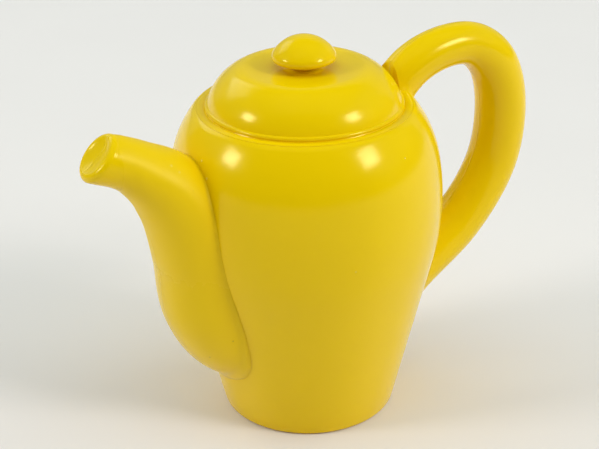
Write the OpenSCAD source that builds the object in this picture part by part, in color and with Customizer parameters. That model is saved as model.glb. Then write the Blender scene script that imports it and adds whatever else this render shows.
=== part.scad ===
// Toy teapot: a hollow barrel pot with a closed spout, a round loop handle and a lift-off lid.
// Millimetres. The origin is the centre of the foot, +Z is up, the spout points along -X.

/* [Pot body] */
// Diameter of the foot at the table
foot_d = 16.6; // [14:0.2:18]
// Diameter of the belly at its widest
belly_d = 25.5; // [23:0.5:28]
// Height of the widest ring
belly_z = 21.3; // [20:0.1:23]
// Radius of the long curve of the flank
flank_curve_r = 24.5; // [22:0.5:30]
// Height where the flank turns into the shoulder
shoulder_z = 25.2; // [24:0.2:26]
// Radius of the shoulder
shoulder_curve_r = 11; // [10.5:0.5:12.5]
// Height of the flat deck that the lid rests on
deck_z = 30.25; // [29.5:0.05:31.5]
// Radius of the rolled rim between the shoulder and the deck
roll_r = 1.1; // [0.8:0.1:1.5]
// Height of that rolled rim over the deck
roll_rise = 0.26; // [0.1:0.02:0.3]
// Clearance round the lid's rim inside the rolled rim
seat_fit = 0.05; // [0.03:0.01:0.08]
// Radius of the foot's outer edge
foot_edge_r = 0.4; // [0.2:0.1:0.8]
// Thickness of the pot's wall
wall = 1.5; // [1.2:0.1:1.8]
// Thickness of the collar under the deck
collar_t = 2; // [1.8:0.1:2.4]
// Width of the deck under the lid's rim, from the rim to the mouth
lid_seat_w = 1.4; // [1.2:0.1:2]

/* [Base disc] */
// Diameter of the disc that closes the foot
disc_d = 13.4; // [12:0.2:13.6]
// Thickness of the disc
disc_t = 1.2; // [1:0.1:1.6]
// Width of the ledge that the disc seats against
ledge_w = 0.8; // [0.5:0.1:1.2]
// Thickness of that ledge
ledge_t = 0.8; // [0.6:0.1:1.2]
// Height of the locating ring on the disc, above the ledge's lower face
disc_ring_h = 1.4; // [1:0.1:2]
// Thickness of that ring
disc_ring_t = 0.9; // [0.7:0.1:1.2]
// Clearance round the disc
disc_fit = 0.03; // [0.01:0.01:0.05]

/* [Lid] */
// Diameter of the lid's rim on the deck
lid_d = 18; // [17.4:0.1:18.2]
// Lean of the rim at the deck, in degrees from upright
rim_lean = 8; // [4:1:12]
// Radius of the rim's curve
rim_curve_r = 4.77; // [4.4:0.05:5]
// Lean where that curve ends
rim_end_lean = 61; // [58:1:63]
// Radius of the corner between rim and crown
lid_corner_r = 0.8; // [0.5:0.1:1.2]
// Slope of the crown at that corner, in degrees
crown_slope = 1.2; // [0.8:0.1:2]
// Thickness of the lid's shell
lid_wall = 1.2; // [1:0.1:1.4]
// Depth of the skirt that drops into the mouth
skirt_h = 1.4; // [1:0.1:1.8]
// Thickness of the skirt
skirt_t = 1; // [0.8:0.1:1.2]
// Clearance between skirt and mouth
lid_fit = 0.1; // [0.05:0.01:0.15]

/* [Knob] */
// Diameter of the knob
knob_d = 5.84; // [5.4:0.1:6.4]
// Height of the knob's widest ring over the lid
knob_ring_h = 1.1; // [1:0.05:1.5]
// Height of the knob's crown over that ring
knob_crown_h = 1.95; // [1.7:0.05:2.3]
// Radius between the crown and the widest ring
knob_edge_r = 0.8; // [0.6:0.1:1]
// Radius of the knob's lower edge
knob_lip_r = 0.35; // [0.2:0.05:0.5]
// Diameter of the knob's neck
knob_neck_d = 3; // [2.6:0.1:3.4]
// Radius of the flare at the foot of the neck
knob_flare_r = 0.45; // [0.3:0.05:0.6]
// Diameter of the stem that is pressed into the lid
stem_d = 1.8; // [1.4:0.1:2.2]
// Clearance round the stem
stem_fit = 0.02; // [0.01:0.01:0.05]
// Wall of the hub round the stem
hub_wall = 0.9; // [0.7:0.1:1.2]
// Height of the hub's end over the deck
hub_end_h = 1.3; // [1.1:0.1:1.6]

/* [Spout] */
// Reach of the mouth's centre from the pot's axis
spout_reach = 20.15; // [19:0.05:22]
// Height of the mouth's centre
spout_rise = 29.7; // [28:0.1:31]
// Width of the spout at its root
spout_root_w = 10.5; // [9:0.1:12]
// Depth of the spout at its root, from front to back
spout_root_depth = 8.8; // [8:0.2:10]
// Slope of the mouth's face, measured from upright
mouth_face_tilt = 42; // [36:1:48]
// Depth of the dished face of the mouth
dish_depth = 0.3; // [0.1:0.05:0.5]
// Radius of the mouth's rounded lip
mouth_lip_r = 0.55; // [0.3:0.05:0.7]

/* [Handle] */
// Reach of the loop's centreline from the pot's axis
handle_reach = 22.4; // [21:0.2:24]
// Height of the loop's centreline at its crown
handle_rise = 33; // [32:0.2:34]
// Diameter of the loop at its back
handle_d = 5.05; // [4.6:0.05:5.5]
// Gap between the loop's root and the lid's rim
lid_clearance = 0.25; // [0.2:0.05:0.4]

/* [Pegs] */
// Diameter of the spout's pegs
spout_peg_d = 2.4; // [2:0.1:2.8]
// Height of the spout's lower peg
spout_low_peg_z = 12; // [11:0.5:13]
// Height of the spout's upper peg
spout_top_peg_z = 21; // [20:0.5:22]
// Diameter of the handle's lower peg
handle_low_peg_d = 2; // [1.6:0.1:2.4]
// Height of the handle's lower peg
handle_low_peg_z = 9.6; // [9:0.1:10.2]
// Diameter of the handle's upper peg
handle_top_peg_d = 1.2; // [1:0.1:1.3]
// Length of the handle's upper peg inside the collar
handle_top_peg_l = 1.8; // [1.4:0.1:2]
// Depth that a peg is rooted in its own piece
peg_root = 0.5; // [0.4:0.1:0.6]
// Height that a peg stands proud inside the pot
peg_proud = 0.4; // [0.2:0.1:0.8]
// Clearance round every peg
peg_fit = 0.03; // [0.01:0.01:0.05]

/* [Hidden] */
plastic = [0.93, 0.83, 0.02];
over = 0.5;
turned_sides = 180;
peg_sides = 48;

foot_r = foot_d / 2;
belly_r = belly_d / 2;
lid_r = lid_d / 2;
mouth_r = lid_r - lid_seat_w;
knob_r = knob_d / 2;
disc_r = disc_d / 2;
ledge_r = disc_r - ledge_w;
stem_r = stem_d / 2;

// The straight flank touches the long curve where a line from the foot is tangent to it.
flank_centre = [belly_r - flank_curve_r, belly_z];
foot_to_centre = norm([flank_centre.x - foot_r, flank_centre.y]);
tangent_l = sqrt(foot_to_centre ^ 2 - flank_curve_r ^ 2);
flank_tilt = atan2(flank_centre.y, flank_centre.x - foot_r) - asin(flank_curve_r / foot_to_centre);
flank_out = [sin(flank_tilt), -cos(flank_tilt)];
flank_top = [foot_r, 0] + tangent_l * [cos(flank_tilt), sin(flank_tilt)];

// The shoulder's curve leaves the long curve at shoulder_z with the same slope.
shoulder_start = asin((shoulder_z - belly_z) / flank_curve_r);
shoulder_dir = [cos(shoulder_start), sin(shoulder_start)];
shoulder_centre = flank_centre + (flank_curve_r - shoulder_curve_r) * shoulder_dir;

// The rolled rim and the foot's edge are rounded inside the two surfaces that they join.
roll_top_z = deck_z + roll_rise;
roll_z = roll_top_z - roll_r;
roll_x = shoulder_centre.x + sqrt((shoulder_curve_r - roll_r) ^ 2 - (roll_z - shoulder_centre.y) ^ 2);
roll_meet = atan2(roll_z - shoulder_centre.y, roll_x - shoulder_centre.x);
foot_edge_x = foot_r - foot_edge_r * tan(flank_tilt / 2);

// The next points of an arc, after its first, counted anticlockwise from angle a0 to a1.
function arc(centre, r, a0, a1, steps) = [for (k = [1 : steps])
    let (v = a0 + (a1 - a0) * k / steps) centre + r * [cos(v), sin(v)]];

// A crown is a wide arc on the axis that meets a corner arc, both tangent.
function crown_radius(side_r, rise, corner_r) =
    ((side_r - corner_r) ^ 2 + rise ^ 2 - corner_r ^ 2) / (2 * (rise - corner_r));
function crown(side_r, ring_z, rise, corner_r, steps) =
    let (r = crown_radius(side_r, rise, corner_r), top_z = ring_z + rise,
        meet = atan2(r - rise, side_r - corner_r))
    concat(arc([side_r - corner_r, ring_z], corner_r, 0, meet, steps),
        arc([0, top_z - r], r, meet, 90, steps));

// The lid's rim, its corner and its crown are three arcs, each tangent to the next.
rim_centre = [lid_r, deck_z] - rim_curve_r * [cos(rim_lean), sin(rim_lean)];
corner_centre = rim_centre + (rim_curve_r - lid_corner_r) * [cos(rim_end_lean), sin(rim_end_lean)];
crown_r = corner_centre.x / sin(crown_slope) + lid_corner_r;
crown_centre_z = corner_centre.y - (crown_r - lid_corner_r) * cos(crown_slope);
lid_top_z = crown_centre_z + crown_r;
skirt_r = mouth_r - lid_fit;
hub_end_z = deck_z + hub_end_h;
hub_r = stem_r + hub_wall;
neck_r = knob_neck_d / 2;
neck_foot_r = neck_r + knob_flare_r;
knob_seat_z = crown_centre_z + sqrt(crown_r ^ 2 - neck_foot_r ^ 2);
knob_ring_z = lid_top_z + knob_ring_h;

// The pot's outer radius at a height.
function pot_r(z) = z < flank_top.y
    ? foot_r + z / tan(flank_tilt)
    : z < shoulder_z
        ? flank_centre.x + sqrt(flank_curve_r ^ 2 - (z - belly_z) ^ 2)
        : shoulder_centre.x + sqrt(shoulder_curve_r ^ 2 - (z - shoulder_centre.y) ^ 2);

// The spout's centreline from the mouth to the toe, as shares of its reach and its rise,
// with its depth and its width as shares of those at the root.
spout_path_shares = [
    [1, 1, 0.539, 0.417],
    [0.917, 0.976, 0.525, 0.486],
    [0.831, 0.939, 0.582, 0.596],
    [0.708, 0.863, 0.77, 0.768],
    [0.618, 0.758, 0.882, 0.91],
    [0.562, 0.61, 0.943, 0.992],
    [0.52, 0.434, 0.998, 0.998],
    [0.407, 0.302, 0.902, 0.904],
    [0.19, 0.268, 0.67, 0.79]];
spout_rings = 6;
spout_sides = 36;
// The mouth's face leans over to the tube's own direction within this many rings.
lean_rings = 13;
// Where the rings of the dished face stand, as shares of its half width.
dish_ring_shares = [0.25, 0.5, 0.75, 0.92];
lip_steps = 4;

// The handle's centreline from the shoulder over the crown and down to the flank, as shares
// of its reach and its rise, with its thickness as a share of that at the back.
handle_path_shares = [
    [0.3, 0.81, 0.83],
    [0.525, 0.966, 0.82],
    [0.775, 1, 0.81],
    [0.938, 0.928, 0.94],
    [1, 0.78, 1],
    [0.96, 0.598, 1],
    [0.785, 0.432, 1],
    [0.51, 0.312, 1.13],
    [0.354, 0.224, 1.26]];
handle_rings = 6;
handle_sides = 32;

// One value of a smooth curve that passes through the rows p at whole numbers of u.
function row_slope(p, i) =
    let (next = min(i + 1, len(p) - 1), back = max(i - 1, 0)) (p[next] - p[back]) / (next - back);
function curve_at(p, u) =
    let (i = min(floor(u), len(p) - 2), t = u - i)
    (2 * t ^ 3 - 3 * t ^ 2 + 1) * p[i] + (t ^ 3 - 2 * t ^ 2 + t) * row_slope(p, i)
    + (3 * t ^ 2 - 2 * t ^ 3) * p[i + 1] + (t ^ 3 - t ^ 2) * row_slope(p, i + 1);
function curve_rows(p, steps) = [for (k = [0 : (len(p) - 1) * steps]) curve_at(p, k / steps)];
function tilt_at(c, i) =
    let (d = c[min(i + 1, len(c) - 1)] - c[max(i - 1, 0)]) atan2(d[1], d[0]);

// A ring in the plane through the Y axis: centre, in-plane half size, half size across, tilt.
function ring(centre, a, b, tilt, sides) = [for (k = [0 : sides - 1])
    let (v = 360 * k / sides)
    [centre.x + a * cos(v) * cos(tilt), b * sin(v), centre.y + a * cos(v) * sin(tilt)]];

// A closed skin over rings of the same number of points.
module skin(rings) {
    sides = len(rings[0]);
    last = len(rings) - 1;
    faces = concat(
        [[for (k = [sides - 1 : -1 : 0]) k]],
        [for (j = [0 : last - 1], k = [0 : sides - 1], h = [0, 1])
            let (n = (k + 1) % sides, low = j * sides, high = low + sides)
            h == 0 ? [low + k, high + n, high + k] : [low + k, low + n, high + n]],
        [[for (k = [0 : sides - 1]) last * sides + k]]);
    polyhedron(points = [for (r = rings, p = r) p], faces = faces, convexity = 6);
}

module turn(outline) {
    rotate_extrude($fn = turned_sides) polygon(outline);
}

module peg(d, from_x, to_x, z) {
    translate([from_x, 0, z]) rotate([0, 90, 0]) cylinder(d = d, h = to_x - from_x, $fn = peg_sides);
}

module spout_pegs(extra) {
    for (z = [spout_low_peg_z, spout_top_peg_z])
        peg(spout_peg_d + extra, -pot_r(z) - peg_root, -pot_r(z) + wall + peg_proud, z);
}

module handle_pegs(extra) {
    low_r = pot_r(handle_low_peg_z);
    top_z = deck_z - collar_t / 2;
    peg(handle_low_peg_d + extra, low_r - wall - peg_proud, low_r + peg_root, handle_low_peg_z);
    peg(handle_top_peg_d + extra, pot_r(top_z) - handle_top_peg_l, pot_r(top_z) + peg_root, top_z);
}

module pot_form() {
    turn(concat(
        [[0, 0], [foot_edge_x, 0]],
        arc([foot_edge_x, foot_edge_r], foot_edge_r, -90, flank_tilt - 90, 4),
        [flank_top],
        arc(flank_centre, flank_curve_r, flank_tilt - 90, shoulder_start, 14),
        arc(shoulder_centre, shoulder_curve_r, shoulder_start, roll_meet, 14),
        arc([roll_x, roll_z], roll_r, roll_meet, 90, 6),
        [[0, roll_top_z]]));
}

module pot_hollow() {
    floor_z = disc_t + ledge_t;
    roof_z = deck_z - collar_t;
    inner_r = shoulder_curve_r - wall;
    turn(concat(
        [[0, floor_z], [pot_r(floor_z) - wall / sin(flank_tilt), floor_z],
        flank_top - wall * flank_out],
        arc(flank_centre, flank_curve_r - wall, flank_tilt - 90, shoulder_start, 14),
        arc(shoulder_centre, inner_r, shoulder_start,
            asin((roof_z - shoulder_centre.y) / inner_r), 10),
        [[0, roof_z]]));
}

module pot_body() {
    color(plastic) difference() {
        pot_form();
        pot_hollow();
        translate([0, 0, disc_t]) cylinder(r = ledge_r, h = deck_z / 2, $fn = turned_sides);
        translate([0, 0, -over]) cylinder(r = disc_r, h = disc_t + over, $fn = turned_sides);
        translate([0, 0, deck_z / 2]) cylinder(r = mouth_r, h = deck_z, $fn = turned_sides);
        translate([0, 0, deck_z])
            cylinder(r = lid_r + seat_fit, h = roll_rise + over, $fn = turned_sides);
        spout_pegs(2 * peg_fit);
        handle_pegs(2 * peg_fit);
    }
}

module base_disc() {
    ring_r = ledge_r - disc_fit;
    color(plastic) union() {
        cylinder(r = disc_r - disc_fit, h = disc_t, $fn = turned_sides);
        difference() {
            cylinder(r = ring_r, h = disc_t + disc_ring_h, $fn = turned_sides);
            translate([0, 0, disc_t])
                cylinder(r = ring_r - disc_ring_t, h = disc_ring_h + over, $fn = turned_sides);
        }
    }
}

module spout() {
    rows = curve_rows([for (s = spout_path_shares)
        [-spout_reach * s[0], spout_rise * s[1], spout_root_depth * s[2] / 2, spout_root_w * s[3] / 2]],
        spout_rings);
    face_lean = 90 - mouth_face_tilt;
    face_out = [-sin(face_lean), cos(face_lean)];
    mouth_centre = [rows[0][0], rows[0][1]];
    function lean_at(i) =
        let (own = tilt_at(rows, i) + 90) own + (face_lean - own) * max(0, 1 - i / lean_rings) ^ 2;
    function face_ring(step, inset) = ring(mouth_centre + step * face_out,
        rows[0][2] - inset, rows[0][3] - inset, face_lean, spout_sides);
    dish_half = rows[0][3] - mouth_lip_r;
    dish = [for (share = dish_ring_shares)
        face_ring(mouth_lip_r - dish_depth * (1 - share ^ 2), mouth_lip_r + dish_half * (1 - share))];
    lip = [for (k = [lip_steps : -1 : 0])
        let (v = 90 * k / lip_steps) face_ring(mouth_lip_r * sin(v), mouth_lip_r * (1 - cos(v)))];
    tube = [for (i = [1 : len(rows) - 1])
        ring([rows[i][0], rows[i][1]], rows[i][2], rows[i][3], lean_at(i), spout_sides)];
    color(plastic) union() {
        difference() {
            skin(concat(dish, lip, tube));
            pot_form();
        }
        spout_pegs(0);
    }
}

module handle() {
    rows = curve_rows([for (s = handle_path_shares)
        [handle_reach * s[0], handle_rise * s[1], handle_d * s[2] / 2]], handle_rings);
    tube = [for (i = [0 : len(rows) - 1])
        ring([rows[i][0], rows[i][1]], rows[i][2], rows[i][2], tilt_at(rows, i) + 90, handle_sides)];
    color(plastic) union() {
        difference() {
            skin(tube);
            pot_form();
            translate([0, 0, deck_z / 2])
                cylinder(r = lid_r + lid_clearance, h = deck_z, $fn = turned_sides);
        }
        handle_pegs(0);
    }
}

module lid() {
    hollow_r = skirt_r - skirt_t;
    ceiling_z = lid_top_z - lid_wall;
    skirt_end_z = deck_z - skirt_h;
    color(plastic) difference() {
        turn(concat(
            [[0, skirt_end_z], [skirt_r, skirt_end_z], [skirt_r, deck_z], [lid_r, deck_z]],
            arc(rim_centre, rim_curve_r, rim_lean, rim_end_lean, 14),
            arc(corner_centre, lid_corner_r, rim_end_lean, 90 - crown_slope, 4),
            arc([0, crown_centre_z], crown_r, 90 - crown_slope, 90, 4)));
        difference() {
            translate([0, 0, skirt_end_z - over])
                cylinder(r = hollow_r, h = ceiling_z - skirt_end_z + over, $fn = turned_sides);
            translate([0, 0, hub_end_z]) cylinder(r = hub_r, h = deck_z, $fn = peg_sides);
        }
        cylinder(r = stem_r + stem_fit, h = lid_top_z + over, $fn = peg_sides);
        translate([0, 0, knob_seat_z]) cylinder(r = neck_foot_r, h = deck_z, $fn = turned_sides);
    }
}

module lid_knob() {
    lip_x = knob_r - knob_lip_r;
    under_z = knob_ring_z - knob_lip_r;
    color(plastic) turn(concat(
        [[0, hub_end_z], [stem_r, hub_end_z], [stem_r, knob_seat_z], [neck_foot_r, knob_seat_z]],
        arc([neck_foot_r, knob_seat_z + knob_flare_r], knob_flare_r, 270, 180, 6),
        [[neck_r, under_z], [lip_x, under_z]],
        arc([lip_x, knob_ring_z], knob_lip_r, -90, 0, 6),
        crown(knob_r, knob_ring_z, knob_crown_h, knob_edge_r, 8)));
}

pot_body();
base_disc();
spout();
handle();
lid();
lid_knob();
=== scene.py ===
import math

import bmesh
import bpy
from mathutils import Matrix, Vector


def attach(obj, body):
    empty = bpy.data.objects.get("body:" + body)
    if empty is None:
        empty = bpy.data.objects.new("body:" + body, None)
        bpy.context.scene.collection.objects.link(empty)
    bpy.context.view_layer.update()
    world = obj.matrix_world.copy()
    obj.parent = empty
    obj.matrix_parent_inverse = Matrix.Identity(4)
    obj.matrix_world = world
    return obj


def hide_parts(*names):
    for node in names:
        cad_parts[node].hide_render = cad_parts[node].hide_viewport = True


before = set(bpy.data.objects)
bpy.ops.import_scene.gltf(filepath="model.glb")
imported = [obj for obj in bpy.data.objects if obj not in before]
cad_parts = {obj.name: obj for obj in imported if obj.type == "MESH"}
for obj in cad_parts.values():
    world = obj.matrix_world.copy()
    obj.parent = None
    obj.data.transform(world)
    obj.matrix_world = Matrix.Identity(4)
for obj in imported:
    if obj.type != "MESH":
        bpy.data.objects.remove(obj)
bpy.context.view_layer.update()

MM = 0.001

# Camera, fitted to the outlines of pot, lid, spout and handle in the photograph.

PHOTO_WIDE = 599
SENSOR_WIDE_MM = 36
CAMERA_TARGET = Vector((0, 0, 18)) * MM
CAMERA_AWAY = 137.87 * MM
CAMERA_TURN = math.radians(-30)
CAMERA_HEIGHT = math.radians(26.37)
CAMERA_ROLL = math.radians(-0.866)
CAMERA_FOCAL_PX = 1455.6
TARGET_RIGHT_PX = 6.99
TARGET_DOWN_PX = 1.8
CLIP_NEAR, CLIP_FAR = 0.005, 20


def towards(turn, height):
    """The direction from the pot to something at that turn from the -Y side and that height."""
    return Vector((math.sin(turn) * math.cos(height), -math.cos(turn) * math.cos(height),
                   math.sin(height)))


def looking_back(direction):
    """The turn of a camera or a lamp that stands in that direction and looks at the pot."""
    return (-direction).to_track_quat("-Z", "Y").to_matrix().to_4x4()


def make_camera():
    back = towards(CAMERA_TURN, CAMERA_HEIGHT)
    data = bpy.data.cameras.new("photo_camera")
    data.sensor_width = SENSOR_WIDE_MM
    data.lens = data.sensor_width * CAMERA_FOCAL_PX / PHOTO_WIDE
    data.shift_x = -TARGET_RIGHT_PX / PHOTO_WIDE
    data.shift_y = TARGET_DOWN_PX / PHOTO_WIDE
    data.clip_start = CLIP_NEAR
    data.clip_end = CLIP_FAR
    camera = bpy.data.objects.new("photo_camera", data)
    camera.matrix_world = (Matrix.Translation(CAMERA_TARGET + CAMERA_AWAY * back)
                           @ looking_back(back) @ Matrix.Rotation(CAMERA_ROLL, 4, "Z"))
    bpy.context.scene.collection.objects.link(camera)
    bpy.context.scene.camera = camera


make_camera()
bpy.context.scene.view_settings.view_transform = "Standard"

# Shader maths.


class Wire:
    """One output socket; sums, products and powers of wires add their own Math nodes."""

    def __init__(self, paint, socket):
        self.paint = paint
        self.socket = socket

    def maths(self, operation, first, second=None):
        values = {0: first} if second is None else {0: first, 1: second}
        return self.paint.node("ShaderNodeMath", {"operation": operation}, values)

    def __add__(self, other): return self.maths("ADD", self, other)
    def __radd__(self, other): return self.maths("ADD", other, self)
    def __sub__(self, other): return self.maths("SUBTRACT", self, other)
    def __rsub__(self, other): return self.maths("SUBTRACT", other, self)
    def __mul__(self, other): return self.maths("MULTIPLY", self, other)
    def __rmul__(self, other): return self.maths("MULTIPLY", other, self)
    def __truediv__(self, other): return self.maths("DIVIDE", self, other)
    def __rtruediv__(self, other): return self.maths("DIVIDE", other, self)
    def __pow__(self, other): return self.maths("POWER", self, other)
    def __abs__(self): return self.maths("ABSOLUTE", self)
    def most(self, other): return self.maths("MAXIMUM", self, other)

    def rise(self, low, high):
        """0 below low, 1 above high, smooth between; falls instead where low is above high."""
        return self.paint.node("ShaderNodeMapRange",
                               {"interpolation_type": "SMOOTHSTEP", "clamp": True},
                               {"Value": self, "From Min": low, "From Max": high})


class Paint:
    """The node tree of one material."""

    def __init__(self, name):
        self.material = bpy.data.materials.new(name)
        self.material.use_nodes = True
        self.tree = self.material.node_tree
        self.tree.nodes.clear()

    def node(self, kind, settings=None, values=None, out=0):
        made = self.tree.nodes.new(kind)
        for name, value in (settings or {}).items():
            setattr(made, name, value)
        for name, value in (values or {}).items():
            socket = made.inputs[name]
            if isinstance(value, Wire):
                self.tree.links.new(value.socket, socket)
            else:
                socket.default_value = value
        return Wire(self, made.outputs[out])

    def place(self):
        """Object coordinates, in metres."""
        return self.node("ShaderNodeTexCoord", out="Object")

    def axes(self, place):
        split = self.node("ShaderNodeSeparateXYZ", values={0: place})
        return [Wire(self, split.socket.node.outputs[i]) for i in range(3)]

    def grain(self, place, size_mm, detail=2.0, rough=0.5):
        """Noise between 0 and 1 whose lumps are about that size."""
        return self.node("ShaderNodeTexNoise", {"noise_dimensions": "3D"},
                         {"Vector": place, "Scale": 1 / (size_mm * MM), "Detail": detail,
                          "Roughness": rough})

    def cells(self, place, size_mm):
        """Distance from the nearest of many scattered points, and a random number for each."""
        near = self.node("ShaderNodeTexVoronoi", {"feature": "F1"},
                         {"Vector": place, "Scale": 1 / (size_mm * MM), "Randomness": 1.0})
        colour = Wire(self, near.socket.node.outputs["Color"])
        return near, self.node("ShaderNodeSeparateColor", values={0: colour})

    def specks(self, place, spots, core):
        """Round spots, each a point and a radius in millimetres, solid over that share of it."""
        mask = None
        for *point, radius in spots:
            away = self.node("ShaderNodeVectorMath", {"operation": "DISTANCE"},
                             {0: place, 1: [c * MM for c in point]}, out="Value")
            spot = away.rise(radius * MM, core * radius * MM)
            mask = spot if mask is None else mask.most(spot)
        return mask

    def blend(self, share, first, second):
        return self.node("ShaderNodeMix", {"data_type": "RGBA"},
                         {0: share, 6: first, 7: second}, out=2)

    def relief(self, height_mm, under=None):
        values = {"Height": height_mm, "Distance": MM, "Strength": 1.0}
        if under is not None:
            values["Normal"] = under
        return self.node("ShaderNodeBump", values=values)

    def finish(self, values):
        shader = self.node("ShaderNodeBsdfPrincipled", values=values)
        output = self.tree.nodes.new("ShaderNodeOutputMaterial")
        self.tree.links.new(shader.socket, output.inputs["Surface"])
        return self.material


# Yellow plastic. Sizes and heights are in millimetres.

PLASTIC = (0.87, 0.59, 0.0, 1)
PLASTIC_DEEP = (0.85, 0.57, 0.0, 1)
DEEP_SHARE = 0.35
SHEEN = (1, 0.92, 0.42, 1)
PLASTIC_IOR, PLASTIC_SHINE = 1.5, 0.4
CLOUD_SIZE, SMEAR_SIZE = 6, 2.2
PEEL_SIZE, RIPPLE_SIZE, TOOTH_SIZE = 0.55, 3.2, 0.09
PEEL_RISE, RIPPLE_RISE, TOOTH_RISE = 0.0035, 0.012, 0.0007
CLEAN_ROUGH, SMEAR_ROUGH, TOOTH_ROUGH = 0.15, 0.06, 0.02
DUST_DARK = (0.36, 0.25, 0.02, 1)
GLINT_AND_SPECK_PALE = (0.98, 0.84, 0.2, 1)
DUST_CELL, DUST_EDGE, DUST_CORE, DUST_SHARE, DUST_RISE = 1.9, 0.038, 0.018, 0.12, 0.008
DUST_FROM, DUST_FULL = 0.93, 0.94
# Solid core as a share of the radius, strength and colour of the tint, and rise.
DARK_SPECK = (0.35, 0.5, DUST_DARK, 0.03)
# Pale spots are mostly painted highlights, small glints of the lamps.
PALE_SPECK_AND_GLINT = (0.3, 0.4, GLINT_AND_SPECK_PALE, 0.04)
PARTING_EDGE, PARTING_CORE, PARTING_RISE, PARTING_ROUGH = 0.11, 0.02, 0.03, 0.08
GATE_DIP_R, GATE_DIP_FLOOR_R, GATE_DIP_DEPTH = 1.0, 0.8, 0.12
GATE_NUB_R, GATE_NUB_TOP_R, GATE_NUB_RISE = 0.5, 0.35, 0.1
RUBBED_FROM_Z, RUBBED_FULL_Z, RUBBED_FROM_X, RUBBED_FULL_X = 15, 21, -19.4, -18.6
RUBBED_ROUGH = 0.24


def yellow_plastic(name, parting_line=False, dark_specks=(), pale_specks_and_glints=(), gate_mark=False,
                   rubbed_top=False):
    """Solid yellow moulded plastic: faint orange peel, uneven gloss, sparse dust, mould marks, and
    pale spots, mostly painted highlights.
    """
    paint = Paint(name)
    place = paint.place()
    x, y, z = paint.axes(place)

    clouds = paint.grain(place, CLOUD_SIZE, detail=3.0)
    colour = paint.blend(clouds.rise(0.35, 0.7) * DEEP_SHARE, PLASTIC, PLASTIC_DEEP)

    peel = paint.grain(place, PEEL_SIZE, detail=1.5)
    ripple = paint.grain(place, RIPPLE_SIZE, detail=1.0)
    tooth = paint.grain(place, TOOTH_SIZE, detail=2.0)
    normal = paint.relief(peel * PEEL_RISE + ripple * RIPPLE_RISE + tooth * TOOTH_RISE)

    smear = paint.grain(place, SMEAR_SIZE, detail=4.0, rough=0.6)
    rough = CLEAN_ROUGH + smear.rise(0.42, 0.72) * SMEAR_ROUGH + tooth * TOOTH_ROUGH

    fleck, chance = paint.cells(place, DUST_CELL)
    dust = fleck.rise(DUST_EDGE, DUST_CORE) * chance.rise(DUST_FROM, DUST_FULL)
    colour = paint.blend(dust * DUST_SHARE, colour, DUST_DARK)
    raised = dust * DUST_RISE
    # Dark specks are dust; the pale spots are mostly painted highlights.
    for spots, (core, share, tint, rise) in ((dark_specks, DARK_SPECK), (pale_specks_and_glints, PALE_SPECK_AND_GLINT)):
        if spots:
            mask = paint.specks(place, spots, core)
            colour = paint.blend(mask * share, colour, tint)
            raised = raised + mask * rise
    if parting_line:
        line = abs(y).rise(PARTING_EDGE * MM, PARTING_CORE * MM)
        raised = raised + line * PARTING_RISE
        rough = rough + line * PARTING_ROUGH
    if gate_mark:
        from_axis = (x * x + y * y) ** 0.5
        dip = from_axis.rise(GATE_DIP_R * MM, GATE_DIP_FLOOR_R * MM)
        nub = from_axis.rise(GATE_NUB_R * MM, GATE_NUB_TOP_R * MM)
        raised = raised - dip * GATE_DIP_DEPTH + nub * GATE_NUB_RISE
    if rubbed_top:
        high = z.rise(RUBBED_FROM_Z * MM, RUBBED_FULL_Z * MM)
        behind_mouth = x.rise(RUBBED_FROM_X * MM, RUBBED_FULL_X * MM)
        rough = rough + high * behind_mouth * RUBBED_ROUGH
    return paint.finish({"Base Color": colour, "Roughness": rough,
                         "Normal": paint.relief(raised, normal), "IOR": PLASTIC_IOR,
                         "Specular IOR Level": PLASTIC_SHINE, "Specular Tint": SHEEN})


# Outline helpers. Outlines are lists of radius and height in millimetres.


def polar(centre, radius, degrees):
    turn = math.radians(degrees)
    return (centre[0] + radius * math.cos(turn), centre[1] + radius * math.sin(turn))


def arc(centre, radius, start, end, steps):
    """The points of an arc after its first, counted anticlockwise in degrees."""
    return [polar(centre, radius, start + (end - start) * k / steps) for k in range(1, steps + 1)]


def straight(start, end, steps):
    """The points of a straight line after its first."""
    return [tuple(a + (b - a) * k / steps for a, b in zip(start, end))
            for k in range(1, steps + 1)]


def crown(side_r, ring_z, rise, corner_r, steps):
    """A wide crown on the axis that meets a corner, both tangent."""
    wide = ((side_r - corner_r) ** 2 + rise ** 2 - corner_r ** 2) / (2 * (rise - corner_r))
    meet = math.degrees(math.atan2(wide - rise, side_r - corner_r))
    return (arc((side_r - corner_r, ring_z), corner_r, 0, meet, steps)
            + arc((0, ring_z + rise - wide), wide, meet, 90, steps))


def rounded(before, corner, after, radius, steps=4):
    """The points of a small round that takes off the corner between two straight lines."""
    into = (Vector(before) - Vector(corner)).normalized()
    out = (Vector(after) - Vector(corner)).normalized()
    half = into.angle(out) / 2
    cut = radius / math.tan(half)
    middle = Vector(corner) + (into + out).normalized() * (radius / math.sin(half))
    first = Vector(corner) + into * cut - middle
    last = Vector(corner) + out * cut - middle
    return [tuple(middle + first.slerp(last, k / steps)) for k in range(steps + 1)]


# Mesh helpers.

SHARP_OVER = math.radians(50)
SPIN_MERGE, LAST_MERGE, SAME_PLACE = 1e-7, 1e-8, 1e-7


def shade(bm):
    """Faces outward, and smooth but for the sharp edges."""
    bmesh.ops.recalc_face_normals(bm, faces=bm.faces)
    for face in bm.faces:
        face.smooth = True
    for edge in bm.edges:
        edge.smooth = len(edge.link_faces) == 2 and edge.calc_face_angle(0) < SHARP_OVER


def new_piece(bm, name, body):
    """Closes a bmesh into an object that rides on a body."""
    bmesh.ops.remove_doubles(bm, verts=bm.verts, dist=LAST_MERGE)
    shade(bm)
    mesh = bpy.data.meshes.new(name)
    bm.to_mesh(mesh)
    bm.free()
    piece = bpy.data.objects.new(name, mesh)
    bpy.context.scene.collection.objects.link(piece)
    if body:
        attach(piece, body)
    return piece


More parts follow.
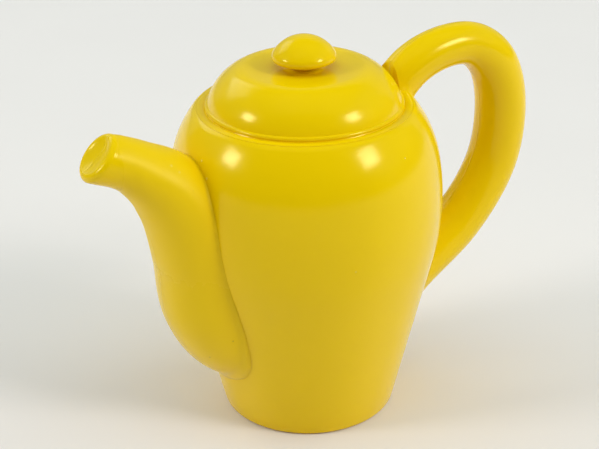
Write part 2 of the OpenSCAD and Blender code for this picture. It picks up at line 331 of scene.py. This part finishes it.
def turned(outline, steps, closed):
    """Spins an outline round the pot's axis."""
    bm = bmesh.new()
    points = [bm.verts.new((r * MM, 0, z * MM)) for r, z in outline]
    edges = [bm.edges.new(pair) for pair in zip(points, points[1:])]
    if closed:
        edges.append(bm.edges.new((points[-1], points[0])))
    bmesh.ops.spin(bm, geom=points + edges, cent=(0, 0, 0), axis=(0, 0, 1), dvec=(0, 0, 0),
                   angle=2 * math.pi, steps=steps, use_merge=True, use_duplicate=False)
    bmesh.ops.remove_doubles(bm, verts=bm.verts, dist=SPIN_MERGE)
    bmesh.ops.recalc_face_normals(bm, faces=bm.faces)
    return bm


def flat_ring(centre, half_depth, half_width, tilt):
    """The matrix that takes a unit circle to a ring in the plane through the Y axis."""
    return (Matrix.Translation(Vector((centre[0], 0, centre[1])) * MM)
            @ Matrix.Rotation(-tilt, 4, "Y")
            @ Matrix.Diagonal((half_depth * MM, half_width * MM, MM, 1)))


def swept(stations, sides):
    """A closed tube through stations of centre, half depth, half width and tilt."""
    bm = bmesh.new()
    number = bm.verts.layers.int.new("station")
    matrices = [flat_ring(*s) for s in stations]
    made = bmesh.ops.create_circle(bm, cap_ends=True, cap_tris=False, segments=sides, radius=1,
                                   matrix=Matrix.Identity(4))
    ring = made["verts"]
    bmesh.ops.transform(bm, matrix=matrices[0], verts=ring)
    for v in ring:
        v[number] = 0
    edges = [e for e in bm.edges if e.verts[0] in ring and e.verts[1] in ring]
    for i in range(1, len(stations)):
        made = bmesh.ops.extrude_edge_only(bm, edges=edges)["geom"]
        ring = [g for g in made if isinstance(g, bmesh.types.BMVert)]
        inside = set(ring)
        edges = [g for g in made if isinstance(g, bmesh.types.BMEdge)
                 and g.verts[0] in inside and g.verts[1] in inside]
        bmesh.ops.transform(bm, matrix=matrices[i] @ matrices[i - 1].inverted(), verts=ring)
        for v in ring:
            v[number] = i
    bmesh.ops.contextual_create(bm, geom=edges)
    bmesh.ops.recalc_face_normals(bm, faces=bm.faces)
    return bm, number


def curve_rows(rows, steps):
    """A smooth curve through rows of numbers, with that many steps between two rows."""
    def slope(i):
        after, before = min(i + 1, len(rows) - 1), max(i - 1, 0)
        return [(a - b) / (after - before) for a, b in zip(rows[after], rows[before])]

    made = []
    for k in range((len(rows) - 1) * steps + 1):
        i = min(k // steps, len(rows) - 2)
        t = k / steps - i
        shares = (2 * t ** 3 - 3 * t ** 2 + 1, t ** 3 - 2 * t ** 2 + t,
                  3 * t ** 2 - 2 * t ** 3, t ** 3 - t ** 2)
        made.append([sum(s * v for s, v in zip(shares, column))
                     for column in zip(rows[i], slope(i), rows[i + 1], slope(i + 1))])
    return made


def tilts(rows):
    """The slope of a curve at each of its rows, in radians."""
    return [math.atan2(after[1] - before[1], after[0] - before[0])
            for before, after in zip([rows[0]] + rows[:-1], rows[1:] + [rows[-1]])]


def cut_away(piece, cutter):
    """Takes the cutter's form out of the piece for good, and removes the cutter."""
    cut = piece.modifiers.new("cut", "BOOLEAN")
    cut.operation = "DIFFERENCE"
    cut.solver = "EXACT"
    cut.object = cutter
    graph = bpy.context.evaluated_depsgraph_get()
    mesh = bpy.data.meshes.new_from_object(piece.evaluated_get(graph))
    piece.modifiers.clear()
    old = piece.data
    piece.data = mesh
    bpy.data.meshes.remove(old)
    used = cutter.data
    bpy.data.objects.remove(cutter)
    bpy.data.meshes.remove(used)


# Sizes in millimetres and degrees. Those of the solids are as in the CAD source.

FOOT_R, BELLY_R, BELLY_Z, FLANK_CURVE_R = 8.3, 12.75, 21.3, 24.5
SHOULDER_Z, SHOULDER_CURVE_R, DECK_Z = 25.2, 11.0, 30.25
ROLL_R, ROLL_RISE, SEAT_FIT = 1.1, 0.26, 0.05
FOOT_EDGE_R, WALL, COLLAR_T, MOUTH_R = 0.4, 1.5, 2.0, 7.6
DISC_R, DISC_T, LEDGE_W, LEDGE_T = 6.7, 1.2, 0.8, 0.8
LID_R, RIM_LEAN, RIM_CURVE_R, RIM_END_LEAN = 9.0, 8.0, 4.77, 61.0
LID_CORNER_R, CROWN_SLOPE = 0.8, 1.2
LID_WALL, SKIRT_H, SKIRT_T, LID_FIT, LID_CLEARANCE = 1.2, 1.4, 1.0, 0.1, 0.25
KNOB_R, KNOB_RING_H, KNOB_CROWN_H, KNOB_EDGE_R, KNOB_LIP_R = 2.92, 1.1, 1.95, 0.8, 0.35
KNOB_NECK_R, KNOB_FLARE_R, STEM_R, STEM_FIT, HUB_WALL, HUB_END_H = 1.5, 0.45, 0.9, 0.02, 0.9, 1.3

# Detail that the solids leave out: the pot's rim and edges, and the lid's crest and bead.

ROLL_END, SEAT_BEVEL, SEAT_EDGE_R, MOUTH_EDGE_R, LEDGE_EDGE_R = 110, 0.5, 0.04, 0.25, 0.15
FOOT_EDGE_INSET_SHARE, SLOPE_STEP = 0.9, 0.05
CREST_R, CREST_BACK_LEAN = 2.6, 3.2
# The bead's circle meets the rim's arc this far round each of the two circles.
BEAD, BEAD_R, BEAD_START, BEAD_END = (LID_R - 0.17, DECK_Z + 0.37), 0.27, -56.8, 82.5
BEAD_TURN, BEAD_HALF_SPAN = 12.79, 3.03
HOLLOW_EDGE_R, SKIRT_IN_EDGE_R, SKIRT_OUT_EDGE_R, RIM_EDGE_R, RIM_EDGE_SPAN = 0.5, 0.2, 0.3, 0.06, 2
KNOB_SMALL_R = 0.15
POT_STEPS, LID_STEPS, KNOB_STEPS, CUTTER_STEPS = 208, 192, 144, 180

FLANK_CENTRE = (BELLY_R - FLANK_CURVE_R, BELLY_Z)
FOOT_TO_CENTRE = math.hypot(FLANK_CENTRE[0] - FOOT_R, BELLY_Z)
TANGENT_L = math.sqrt(FOOT_TO_CENTRE ** 2 - FLANK_CURVE_R ** 2)
FLANK_TILT = math.degrees(math.atan2(BELLY_Z, FLANK_CENTRE[0] - FOOT_R)
                          - math.asin(FLANK_CURVE_R / FOOT_TO_CENTRE))
FLANK_OUT = (math.sin(math.radians(FLANK_TILT)), -math.cos(math.radians(FLANK_TILT)))
FLANK_TOP = polar((FOOT_R, 0), TANGENT_L, FLANK_TILT)
SHOULDER_START = math.degrees(math.asin((SHOULDER_Z - BELLY_Z) / FLANK_CURVE_R))
SHOULDER = polar(FLANK_CENTRE, FLANK_CURVE_R - SHOULDER_CURVE_R, SHOULDER_START)
ROLL_TOP_Z = DECK_Z + ROLL_RISE
ROLL_Z = ROLL_TOP_Z - ROLL_R
ROLL_X = SHOULDER[0] + math.sqrt((SHOULDER_CURVE_R - ROLL_R) ** 2 - (ROLL_Z - SHOULDER[1]) ** 2)
ROLL_MEET = math.degrees(math.atan2(ROLL_Z - SHOULDER[1], ROLL_X - SHOULDER[0]))
SEAT_R = LID_R + SEAT_FIT
RIM = polar((LID_R, DECK_Z), -RIM_CURVE_R, RIM_LEAN)
CORNER = polar(RIM, RIM_CURVE_R - LID_CORNER_R, RIM_END_LEAN)
CROWN_R = CORNER[0] / math.sin(math.radians(CROWN_SLOPE)) + LID_CORNER_R
CROWN_Z = CORNER[1] - (CROWN_R - LID_CORNER_R) * math.cos(math.radians(CROWN_SLOPE))
LID_TOP_Z = CROWN_Z + CROWN_R
NECK_FOOT_R = KNOB_NECK_R + KNOB_FLARE_R
KNOB_SEAT_Z = CROWN_Z + math.sqrt(CROWN_R ** 2 - NECK_FOOT_R ** 2)
HUB_END_Z = DECK_Z + HUB_END_H


def pot_radius(z):
    """The pot's outer radius at a height below its rolled rim."""
    if z < FLANK_TOP[1]:
        return FOOT_R + z / math.tan(math.radians(FLANK_TILT))
    if z < SHOULDER_Z:
        return FLANK_CENTRE[0] + math.sqrt(FLANK_CURVE_R ** 2 - (z - BELLY_Z) ** 2)
    return SHOULDER[0] + math.sqrt(max(SHOULDER_CURVE_R ** 2 - (z - SHOULDER[1]) ** 2, 0))


def outside_pot(co):
    """How far a point in metres stands outside the pot's skin, in millimetres, negative inside."""
    z = co.z / MM
    if z > ROLL_Z:
        beside = math.hypot(co.x, co.y) / MM - ROLL_X
        if beside <= 0:
            return z - ROLL_TOP_Z
        return math.hypot(beside, z - ROLL_Z) - ROLL_R
    slope = (pot_radius(z + SLOPE_STEP) - pot_radius(z - SLOPE_STEP)) / (2 * SLOPE_STEP)
    return (math.hypot(co.x, co.y) / MM - pot_radius(z)) / math.hypot(1, slope)


def pot_outline(inset=0.0):
    """The outer outline from the foot to the top of the rolled rim, set in by a distance."""
    foot_x = FOOT_R - FOOT_EDGE_R * math.tan(math.radians(FLANK_TILT / 2))
    points = [(foot_x - inset, 0)]
    points += arc((foot_x, FOOT_EDGE_R), FOOT_EDGE_R - inset * FOOT_EDGE_INSET_SHARE,
                  -90, FLANK_TILT - 90, 6)
    top = (FLANK_TOP[0] - inset * FLANK_OUT[0], FLANK_TOP[1] - inset * FLANK_OUT[1])
    points += straight(points[-1], top, 18)
    points += arc(FLANK_CENTRE, FLANK_CURVE_R - inset, FLANK_TILT - 90, SHOULDER_START, 26)
    points += arc(SHOULDER, SHOULDER_CURVE_R - inset, SHOULDER_START, ROLL_MEET, 26)
    points += arc((ROLL_X, ROLL_Z), ROLL_R - inset, ROLL_MEET, 90, 14)
    return points


# Pot, lid and knob.


def make_pot():
    floor_z = DISC_T + LEDGE_T
    roof_z = DECK_Z - COLLAR_T
    inner_r = SHOULDER_CURVE_R - WALL
    ledge_r = DISC_R - LEDGE_W
    skin = pot_outline() + arc((ROLL_X, ROLL_Z), ROLL_R, 90, ROLL_END, 6)
    edge_z = skin[-1][1] - (skin[-1][0] - SEAT_R) * SEAT_BEVEL
    skin += rounded(skin[-1], (SEAT_R, edge_z), (SEAT_R, DECK_Z), SEAT_EDGE_R)
    seat = [(SEAT_R, DECK_Z)]
    seat += rounded((SEAT_R, DECK_Z), (MOUTH_R, DECK_Z), (MOUTH_R, roof_z), MOUTH_EDGE_R)
    roof_lean = math.degrees(math.asin((roof_z - SHOULDER[1]) / inner_r))
    roof_x = SHOULDER[0] + math.sqrt(inner_r ** 2 - (roof_z - SHOULDER[1]) ** 2)
    inside = [(MOUTH_R, roof_z), (roof_x, roof_z)]
    inside += arc(SHOULDER, inner_r, roof_lean, SHOULDER_START, 16)
    inside += arc(FLANK_CENTRE, FLANK_CURVE_R - WALL, SHOULDER_START, FLANK_TILT - 90, 18)
    floor_x = pot_radius(floor_z) - WALL / math.sin(math.radians(FLANK_TILT))
    bottom = [(floor_x, floor_z)]
    bottom += rounded((floor_x, floor_z), (ledge_r, floor_z), (ledge_r, DISC_T), LEDGE_EDGE_R)
    bottom += [(ledge_r, DISC_T), (DISC_R, DISC_T), (DISC_R, 0)]
    pot = new_piece(turned(skin + seat + inside + bottom, POT_STEPS, True), "pot_shell", "pot")
    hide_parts("pot_body")
    return pot


def make_lid():
    skirt_r = MOUTH_R - LID_FIT
    hollow_r = skirt_r - SKIRT_T
    skirt_z = DECK_Z - SKIRT_H
    bore_r = STEM_R + STEM_FIT
    hub_r = STEM_R + HUB_WALL
    ceiling_z = LID_TOP_Z - LID_WALL
    outline = [(bore_r, HUB_END_Z), (hub_r, HUB_END_Z), (hub_r, ceiling_z)]
    outline += rounded((hub_r, ceiling_z), (hollow_r, ceiling_z), (hollow_r, skirt_z),
                       HOLLOW_EDGE_R, 6)
    outline += rounded((hollow_r, DECK_Z), (hollow_r, skirt_z), (skirt_r, skirt_z),
                       SKIRT_IN_EDGE_R)
    outline += rounded((hollow_r, skirt_z), (skirt_r, skirt_z), (skirt_r, DECK_Z),
                       SKIRT_OUT_EDGE_R)
    outline += [(skirt_r, DECK_Z)]
    outline += rounded((skirt_r, DECK_Z), (LID_R, DECK_Z),
                       polar(RIM, RIM_CURVE_R, RIM_LEAN + RIM_EDGE_SPAN), RIM_EDGE_R, 5)
    outline += arc(BEAD, BEAD_R, BEAD_START, BEAD_END, 14)
    outline += arc(RIM, RIM_CURVE_R, BEAD_TURN + BEAD_HALF_SPAN, RIM_END_LEAN, 26)
    crest = polar(RIM, RIM_CURVE_R - CREST_R, RIM_END_LEAN)
    outline += arc(crest, CREST_R, RIM_END_LEAN, 90 + CREST_BACK_LEAN, 18)
    outline += straight(outline[-1], (NECK_FOOT_R, KNOB_SEAT_Z), 8)
    outline += [(bore_r, KNOB_SEAT_Z)]
    lid = new_piece(turned(outline, LID_STEPS, True), "lid_dome", "lid")
    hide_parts("lid")
    return lid


def make_knob():
    ring_z = LID_TOP_Z + KNOB_RING_H
    lip_x = KNOB_R - KNOB_LIP_R
    under_z = ring_z - KNOB_LIP_R
    outline = [(0, HUB_END_Z)]
    outline += rounded((0, HUB_END_Z), (STEM_R, HUB_END_Z), (STEM_R, KNOB_SEAT_Z), KNOB_SMALL_R)
    outline += [(STEM_R, KNOB_SEAT_Z), (NECK_FOOT_R, KNOB_SEAT_Z)]
    outline += arc((NECK_FOOT_R, KNOB_SEAT_Z + KNOB_FLARE_R), KNOB_FLARE_R, 270, 180, 10)
    outline += rounded((KNOB_NECK_R, KNOB_SEAT_Z), (KNOB_NECK_R, under_z), (lip_x, under_z),
                       KNOB_SMALL_R)
    outline += [(lip_x, under_z)]
    outline += arc((lip_x, ring_z), KNOB_LIP_R, -90, 0, 8)
    outline += crown(KNOB_R, ring_z, KNOB_CROWN_H, KNOB_EDGE_R, 18)
    knob = new_piece(turned(outline, KNOB_STEPS, False), "knob_mushroom", "lid")
    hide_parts("lid_knob")
    return knob


# Spout and handle. Their paths hold reach, rise, depth and width as shares of these sizes.

SPOUT_REACH, SPOUT_RISE, SPOUT_ROOT_DEPTH, SPOUT_ROOT_W = 20.15, 29.7, 8.8, 10.5
SPOUT_PATH = [
    [1, 1, 0.539, 0.417],
    [0.917, 0.976, 0.525, 0.486],
    [0.831, 0.939, 0.582, 0.596],
    [0.708, 0.863, 0.77, 0.768],
    [0.618, 0.758, 0.882, 0.91],
    [0.562, 0.61, 0.943, 0.992],
    [0.52, 0.434, 0.998, 0.998],
    [0.407, 0.302, 0.902, 0.904],
    [0.19, 0.268, 0.67, 0.79]]
SPOUT_STEPS, SPOUT_SIDES = 28, 128
FACE_LEAN, LEAN_SPANS, MOUTH_LIP_R, LIP_STEPS = 48, 13 / 6, 0.55, 8
DISH_DEPTH, DISH_POWER = 0.3, 2.5
DISH_SHARES = (0.06, 0.16, 0.28, 0.4, 0.52, 0.64, 0.75, 0.85, 0.93)
SPOUT_FILLET_R, SPOUT_FILLET_GAIN, SPOUT_FILLET_TOP_Z, SPOUT_FILLET_FADE_H = 0.22, 0.5, 21, 13
SPOUT_PEG_D, SPOUT_PEG_ZS = 2.4, (12, 21)

HANDLE_REACH, HANDLE_RISE, HANDLE_D = 22.4, 33.0, 5.05
HANDLE_PATH = [
    [0.3, 0.81, 0.83],
    [0.525, 0.966, 0.82],
    [0.775, 1, 0.81],
    [0.938, 0.928, 0.94],
    [1, 0.78, 1],
    [0.96, 0.598, 1],
    [0.785, 0.432, 1],
    [0.51, 0.312, 1.13],
    [0.354, 0.224, 1.26]]
HANDLE_STEPS, HANDLE_SIDES = 22, 112
HANDLE_TOP_FILLET_R, HANDLE_LOW_FILLET_R, HANDLE_MIDDLE_Z = 0.3, 0.5, 20
HANDLE_PEG_D, HANDLE_PEG_Z = 2.0, 9.6

ROOT_DEPTH, LEAST_OUT_SHARE, CUTTER_BELOW, CUTTER_ABOVE = 0.3, 0.1, 1, 6
PEG_ROOT_DEPTH, PEG_BEVEL, PEG_SIDES = 0.4, 0.15, 48


def flare(bm, number, centres, fillet_at):
    """Opens a tube near the pot's skin, so that its root runs into the skin in a small fillet."""
    for v in bm.verts:
        radius = fillet_at(v.co.z / MM)
        out = max(outside_pot(v.co), LEAST_OUT_SHARE * radius)
        if out >= radius:
            continue
        push = radius - math.sqrt(radius ** 2 - (radius - out) ** 2)
        away = v.co - centres[v[number]]
        v.co += away.normalized() * push * MM


def flared_tube(stations, sides, fillet_at):
    bm, number = swept(stations, sides)
    centres = [Vector((s[0][0], 0, s[0][1])) * MM for s in stations]
    flare(bm, number, centres, fillet_at)
    return bm


def skin_cutter():
    """The pot's form, set in a little, that roots are trimmed with."""
    skin = pot_outline(ROOT_DEPTH)
    closed = [(0, -1), (skin[0][0], -1)] + skin[1:] + [(0, skin[-1][1])]
    return new_piece(turned(closed, CUTTER_STEPS, False), "root_cutter", None)


def lid_cutter():
    """The lid with room round it, that the handle's upper root is trimmed with."""
    side_r = LID_R + LID_CLEARANCE
    low, high = DECK_Z - CUTTER_BELOW, DECK_Z + CUTTER_ABOVE
    ring = turned([(0, low), (side_r, low), (side_r, high), (0, high)], CUTTER_STEPS, False)
    return new_piece(ring, "lid_cutter", None)


def make_spout():
    rows = curve_rows([[-SPOUT_REACH * r, SPOUT_RISE * h, SPOUT_ROOT_DEPTH * d / 2,
                        SPOUT_ROOT_W * w / 2] for r, h, d, w in SPOUT_PATH], SPOUT_STEPS)
    lean = math.radians(FACE_LEAN)
    own = [t + math.pi / 2 for t in tilts(rows)]
    face = rows[0]
    out = (-math.sin(lean), math.cos(lean))

    def face_ring(step, inset):
        centre = (face[0] + step * out[0], face[1] + step * out[1])
        return (centre, face[2] - inset, face[3] - inset, lean)

    def fillet_at(z):
        low = min(max((SPOUT_FILLET_TOP_Z - z) / SPOUT_FILLET_FADE_H, 0), 1)
        return SPOUT_FILLET_R + SPOUT_FILLET_GAIN * low * low * (3 - 2 * low)

    half = face[3] - MOUTH_LIP_R
    stations = [face_ring(MOUTH_LIP_R - DISH_DEPTH * (1 - share ** DISH_POWER),
                          MOUTH_LIP_R + half * (1 - share)) for share in DISH_SHARES]
    for k in range(LIP_STEPS):
        v = math.radians(90 - 90 * k / LIP_STEPS)
        stations.append(face_ring(MOUTH_LIP_R * math.sin(v), MOUTH_LIP_R * (1 - math.cos(v))))
    for i, row in enumerate(rows):
        share = max(0, 1 - i / (LEAN_SPANS * SPOUT_STEPS)) ** 2
        stations.append(((row[0], row[1]), row[2], row[3], own[i] + (lean - own[i]) * share))
    spout = new_piece(flared_tube(stations, SPOUT_SIDES, fillet_at), "spout_tube", "pot")
    cut_away(spout, skin_cutter())
    return spout


def make_handle():
    rows = curve_rows([[HANDLE_REACH * r, HANDLE_RISE * h, HANDLE_D * d / 2]
                       for r, h, d in HANDLE_PATH], HANDLE_STEPS)
    own = [t + math.pi / 2 for t in tilts(rows)]
    stations = [((r[0], r[1]), r[2], r[2], t) for r, t in zip(rows, own)]

    def fillet_at(z):
        return HANDLE_TOP_FILLET_R if z > HANDLE_MIDDLE_Z else HANDLE_LOW_FILLET_R

    handle = new_piece(flared_tube(stations, HANDLE_SIDES, fillet_at), "handle_loop", "pot")
    cut_away(handle, skin_cutter())
    cut_away(handle, lid_cutter())
    return handle


def add_peg(bm, diameter, root_x, free_x, z):
    """A round peg along X whose free end has a small bevel."""
    place = (Matrix.Translation(Vector(((root_x + free_x) / 2, 0, z)) * MM)
             @ Matrix.Rotation(math.pi / 2, 4, "Y"))
    made = bmesh.ops.create_cone(bm, cap_ends=True, cap_tris=False, segments=PEG_SIDES,
                                 radius1=diameter / 2 * MM, radius2=diameter / 2 * MM,
                                 depth=abs(free_x - root_x) * MM, matrix=place)
    ring = set(made["verts"])
    edges = [e for e in bm.edges if e.verts[0] in ring and e.verts[1] in ring
             and all(abs(v.co.x - free_x * MM) < SAME_PLACE for v in e.verts)]
    bmesh.ops.bevel(bm, geom=edges, offset=PEG_BEVEL * MM, offset_type="OFFSET",
                    affect="EDGES", segments=3, profile=0.5, material=-1)


def add_pegs(piece, pegs):
    """Adds pegs of diameter, root, free end and height to a finished piece."""
    bm = bmesh.new()
    bm.from_mesh(piece.data)
    for peg in pegs:
        add_peg(bm, *peg)
    shade(bm)
    bm.to_mesh(piece.data)
    bm.free()


pot = make_pot()
lid = make_lid()
knob = make_knob()
spout = make_spout()
handle = make_handle()
add_pegs(spout, [(SPOUT_PEG_D, -pot_radius(z) + PEG_ROOT_DEPTH,
                  -pot_radius(z) + WALL + PEG_ROOT_DEPTH, z) for z in SPOUT_PEG_ZS])
add_pegs(handle, [(HANDLE_PEG_D, pot_radius(HANDLE_PEG_Z) - PEG_ROOT_DEPTH,
                   pot_radius(HANDLE_PEG_Z) - WALL - PEG_ROOT_DEPTH, HANDLE_PEG_Z)])
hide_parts("spout")
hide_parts("handle")

# Finishes. Each speck or painted highlight is a point on the surface and a radius.

# Painted highlights: the last two pot spots by the spout's root, the lid's spot and both pale spout
# spots. The first three pot spots are pale specks.
POT_SPECKS_AND_GLINTS = [(-2.3, -12.47, 19.42, 0.14), (3.72, -10.86, 28.22, 0.12), (8.23, -9.41, 24.66, 0.1),
              (-11.43, -1.68, 28.07, 0.16), (-11.63, -2.95, 26.91, 0.18)]
LID_GLINTS = [(6.01, -5.89, 32.57, 0.12)]
SPOUT_DARK_SPECKS = [(-10.78, -5.01, 11.32, 0.12), (-12.39, -3.38, 9.29, 0.1)]
SPOUT_GLINTS = [(-14.72, -2.46, 28.66, 0.2), (-14.17, -2.82, 28.06, 0.2)]
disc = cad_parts["base_disc"]

for piece, finish in (
        (pot, yellow_plastic("pot_plastic", pale_specks_and_glints=POT_SPECKS_AND_GLINTS)),
        (lid, yellow_plastic("lid_plastic", pale_specks_and_glints=LID_GLINTS)),
        (knob, yellow_plastic("knob_plastic")),
        (spout, yellow_plastic("spout_plastic", dark_specks=SPOUT_DARK_SPECKS,
                               pale_specks_and_glints=SPOUT_GLINTS, parting_line=True, rubbed_top=True)),
        (handle, yellow_plastic("handle_plastic", parting_line=True)),
        (disc, yellow_plastic("disc_plastic", gate_mark=True))):
    piece.data.materials.clear()
    piece.data.materials.append(finish)

# Floor and light.

FLOOR_HALF, FLOOR_CELLS, FLOOR_BELOW = 1.5, 8, 0.00002
PAPER, PAPER_DEEP = (0.815, 0.76, 0.76, 1), (0.80, 0.745, 0.745, 1)
PAPER_ROUGH, PAPER_TONE_SIZE, FIBRE_SIZE, FIBRE_RISE = 0.85, 26, 0.5, 0.004
KEY_TINT = (1.0, 0.97, 0.93)
SIDE_TINT = (0.88, 1.0, 0.96)
# Name, turn from the camera and height in degrees, distance and size in metres, watts, tint, and
# whether the gloss shows it: the big panels would stand in it as pale rectangles.
SOFTBOXES = [
    ("softbox_left", -74.5, 27, 1.2, (0.30, 0.25), 4.0, KEY_TINT, True),
    ("softbox_right", 64, 31, 1.2, (0.31, 0.31), 5.2, KEY_TINT, True),
    ("side_panel_left", -100, 34, 1.2, (1.2, 0.9), 3.6, SIDE_TINT, False),
    ("side_panel_right", 92, 32, 1.2, (1.2, 0.9), 6.0, SIDE_TINT, False),
    ("overhead_panel", 0, 84, 0.9, (1.1, 0.9), 4.1, SIDE_TINT, False),
    ("backdrop_panel", 180, 24, 1.3, (3.2, 1.0), 2.6, SIDE_TINT, True),
    ("rim_panel_left", -136, 36, 1.2, (0.7, 0.5), 1.7, SIDE_TINT, True)]
STUDIO_TINT, STUDIO_STRENGTH = (1.0, 0.96, 0.9, 1), 0.08


def make_floor():
    bm = bmesh.new()
    bmesh.ops.create_grid(bm, x_segments=FLOOR_CELLS, y_segments=FLOOR_CELLS, size=FLOOR_HALF,
                          matrix=Matrix.Translation((0, 0, -FLOOR_BELOW)))
    mesh = bpy.data.meshes.new("paper_floor")
    bm.to_mesh(mesh)
    bm.free()
    floor = bpy.data.objects.new("paper_floor", mesh)
    bpy.context.scene.collection.objects.link(floor)
    paint = Paint("pale_paper")
    place = paint.place()
    tone = paint.grain(place, PAPER_TONE_SIZE, detail=2.0)
    colour = paint.blend(tone.rise(0.3, 0.7) * 0.5, PAPER, PAPER_DEEP)
    fibre = paint.grain(place, FIBRE_SIZE, detail=3.0)
    mesh.materials.append(paint.finish({"Base Color": colour, "Roughness": PAPER_ROUGH,
                                        "Normal": paint.relief(fibre * FIBRE_RISE)}))


def make_softbox(name, turn, height, away, size, power, tint, mirrored):
    data = bpy.data.lights.new(name, "AREA")
    data.shape = "RECTANGLE"
    data.size, data.size_y = size
    data.energy = power
    data.color = tint
    light = bpy.data.objects.new(name, data)
    light.visible_glossy = mirrored
    back = towards(CAMERA_TURN + math.radians(turn), math.radians(height))
    light.matrix_world = Matrix.Translation(CAMERA_TARGET + back * away) @ looking_back(back)
    bpy.context.scene.collection.objects.link(light)


def make_world():
    world = bpy.data.worlds.new("studio")
    bpy.context.scene.world = world
    world.use_nodes = True
    inputs = world.node_tree.nodes["Background"].inputs
    inputs["Color"].default_value = STUDIO_TINT
    inputs["Strength"].default_value = STUDIO_STRENGTH


make_floor()
for softbox in SOFTBOXES:
    make_softbox(*softbox)
make_world()
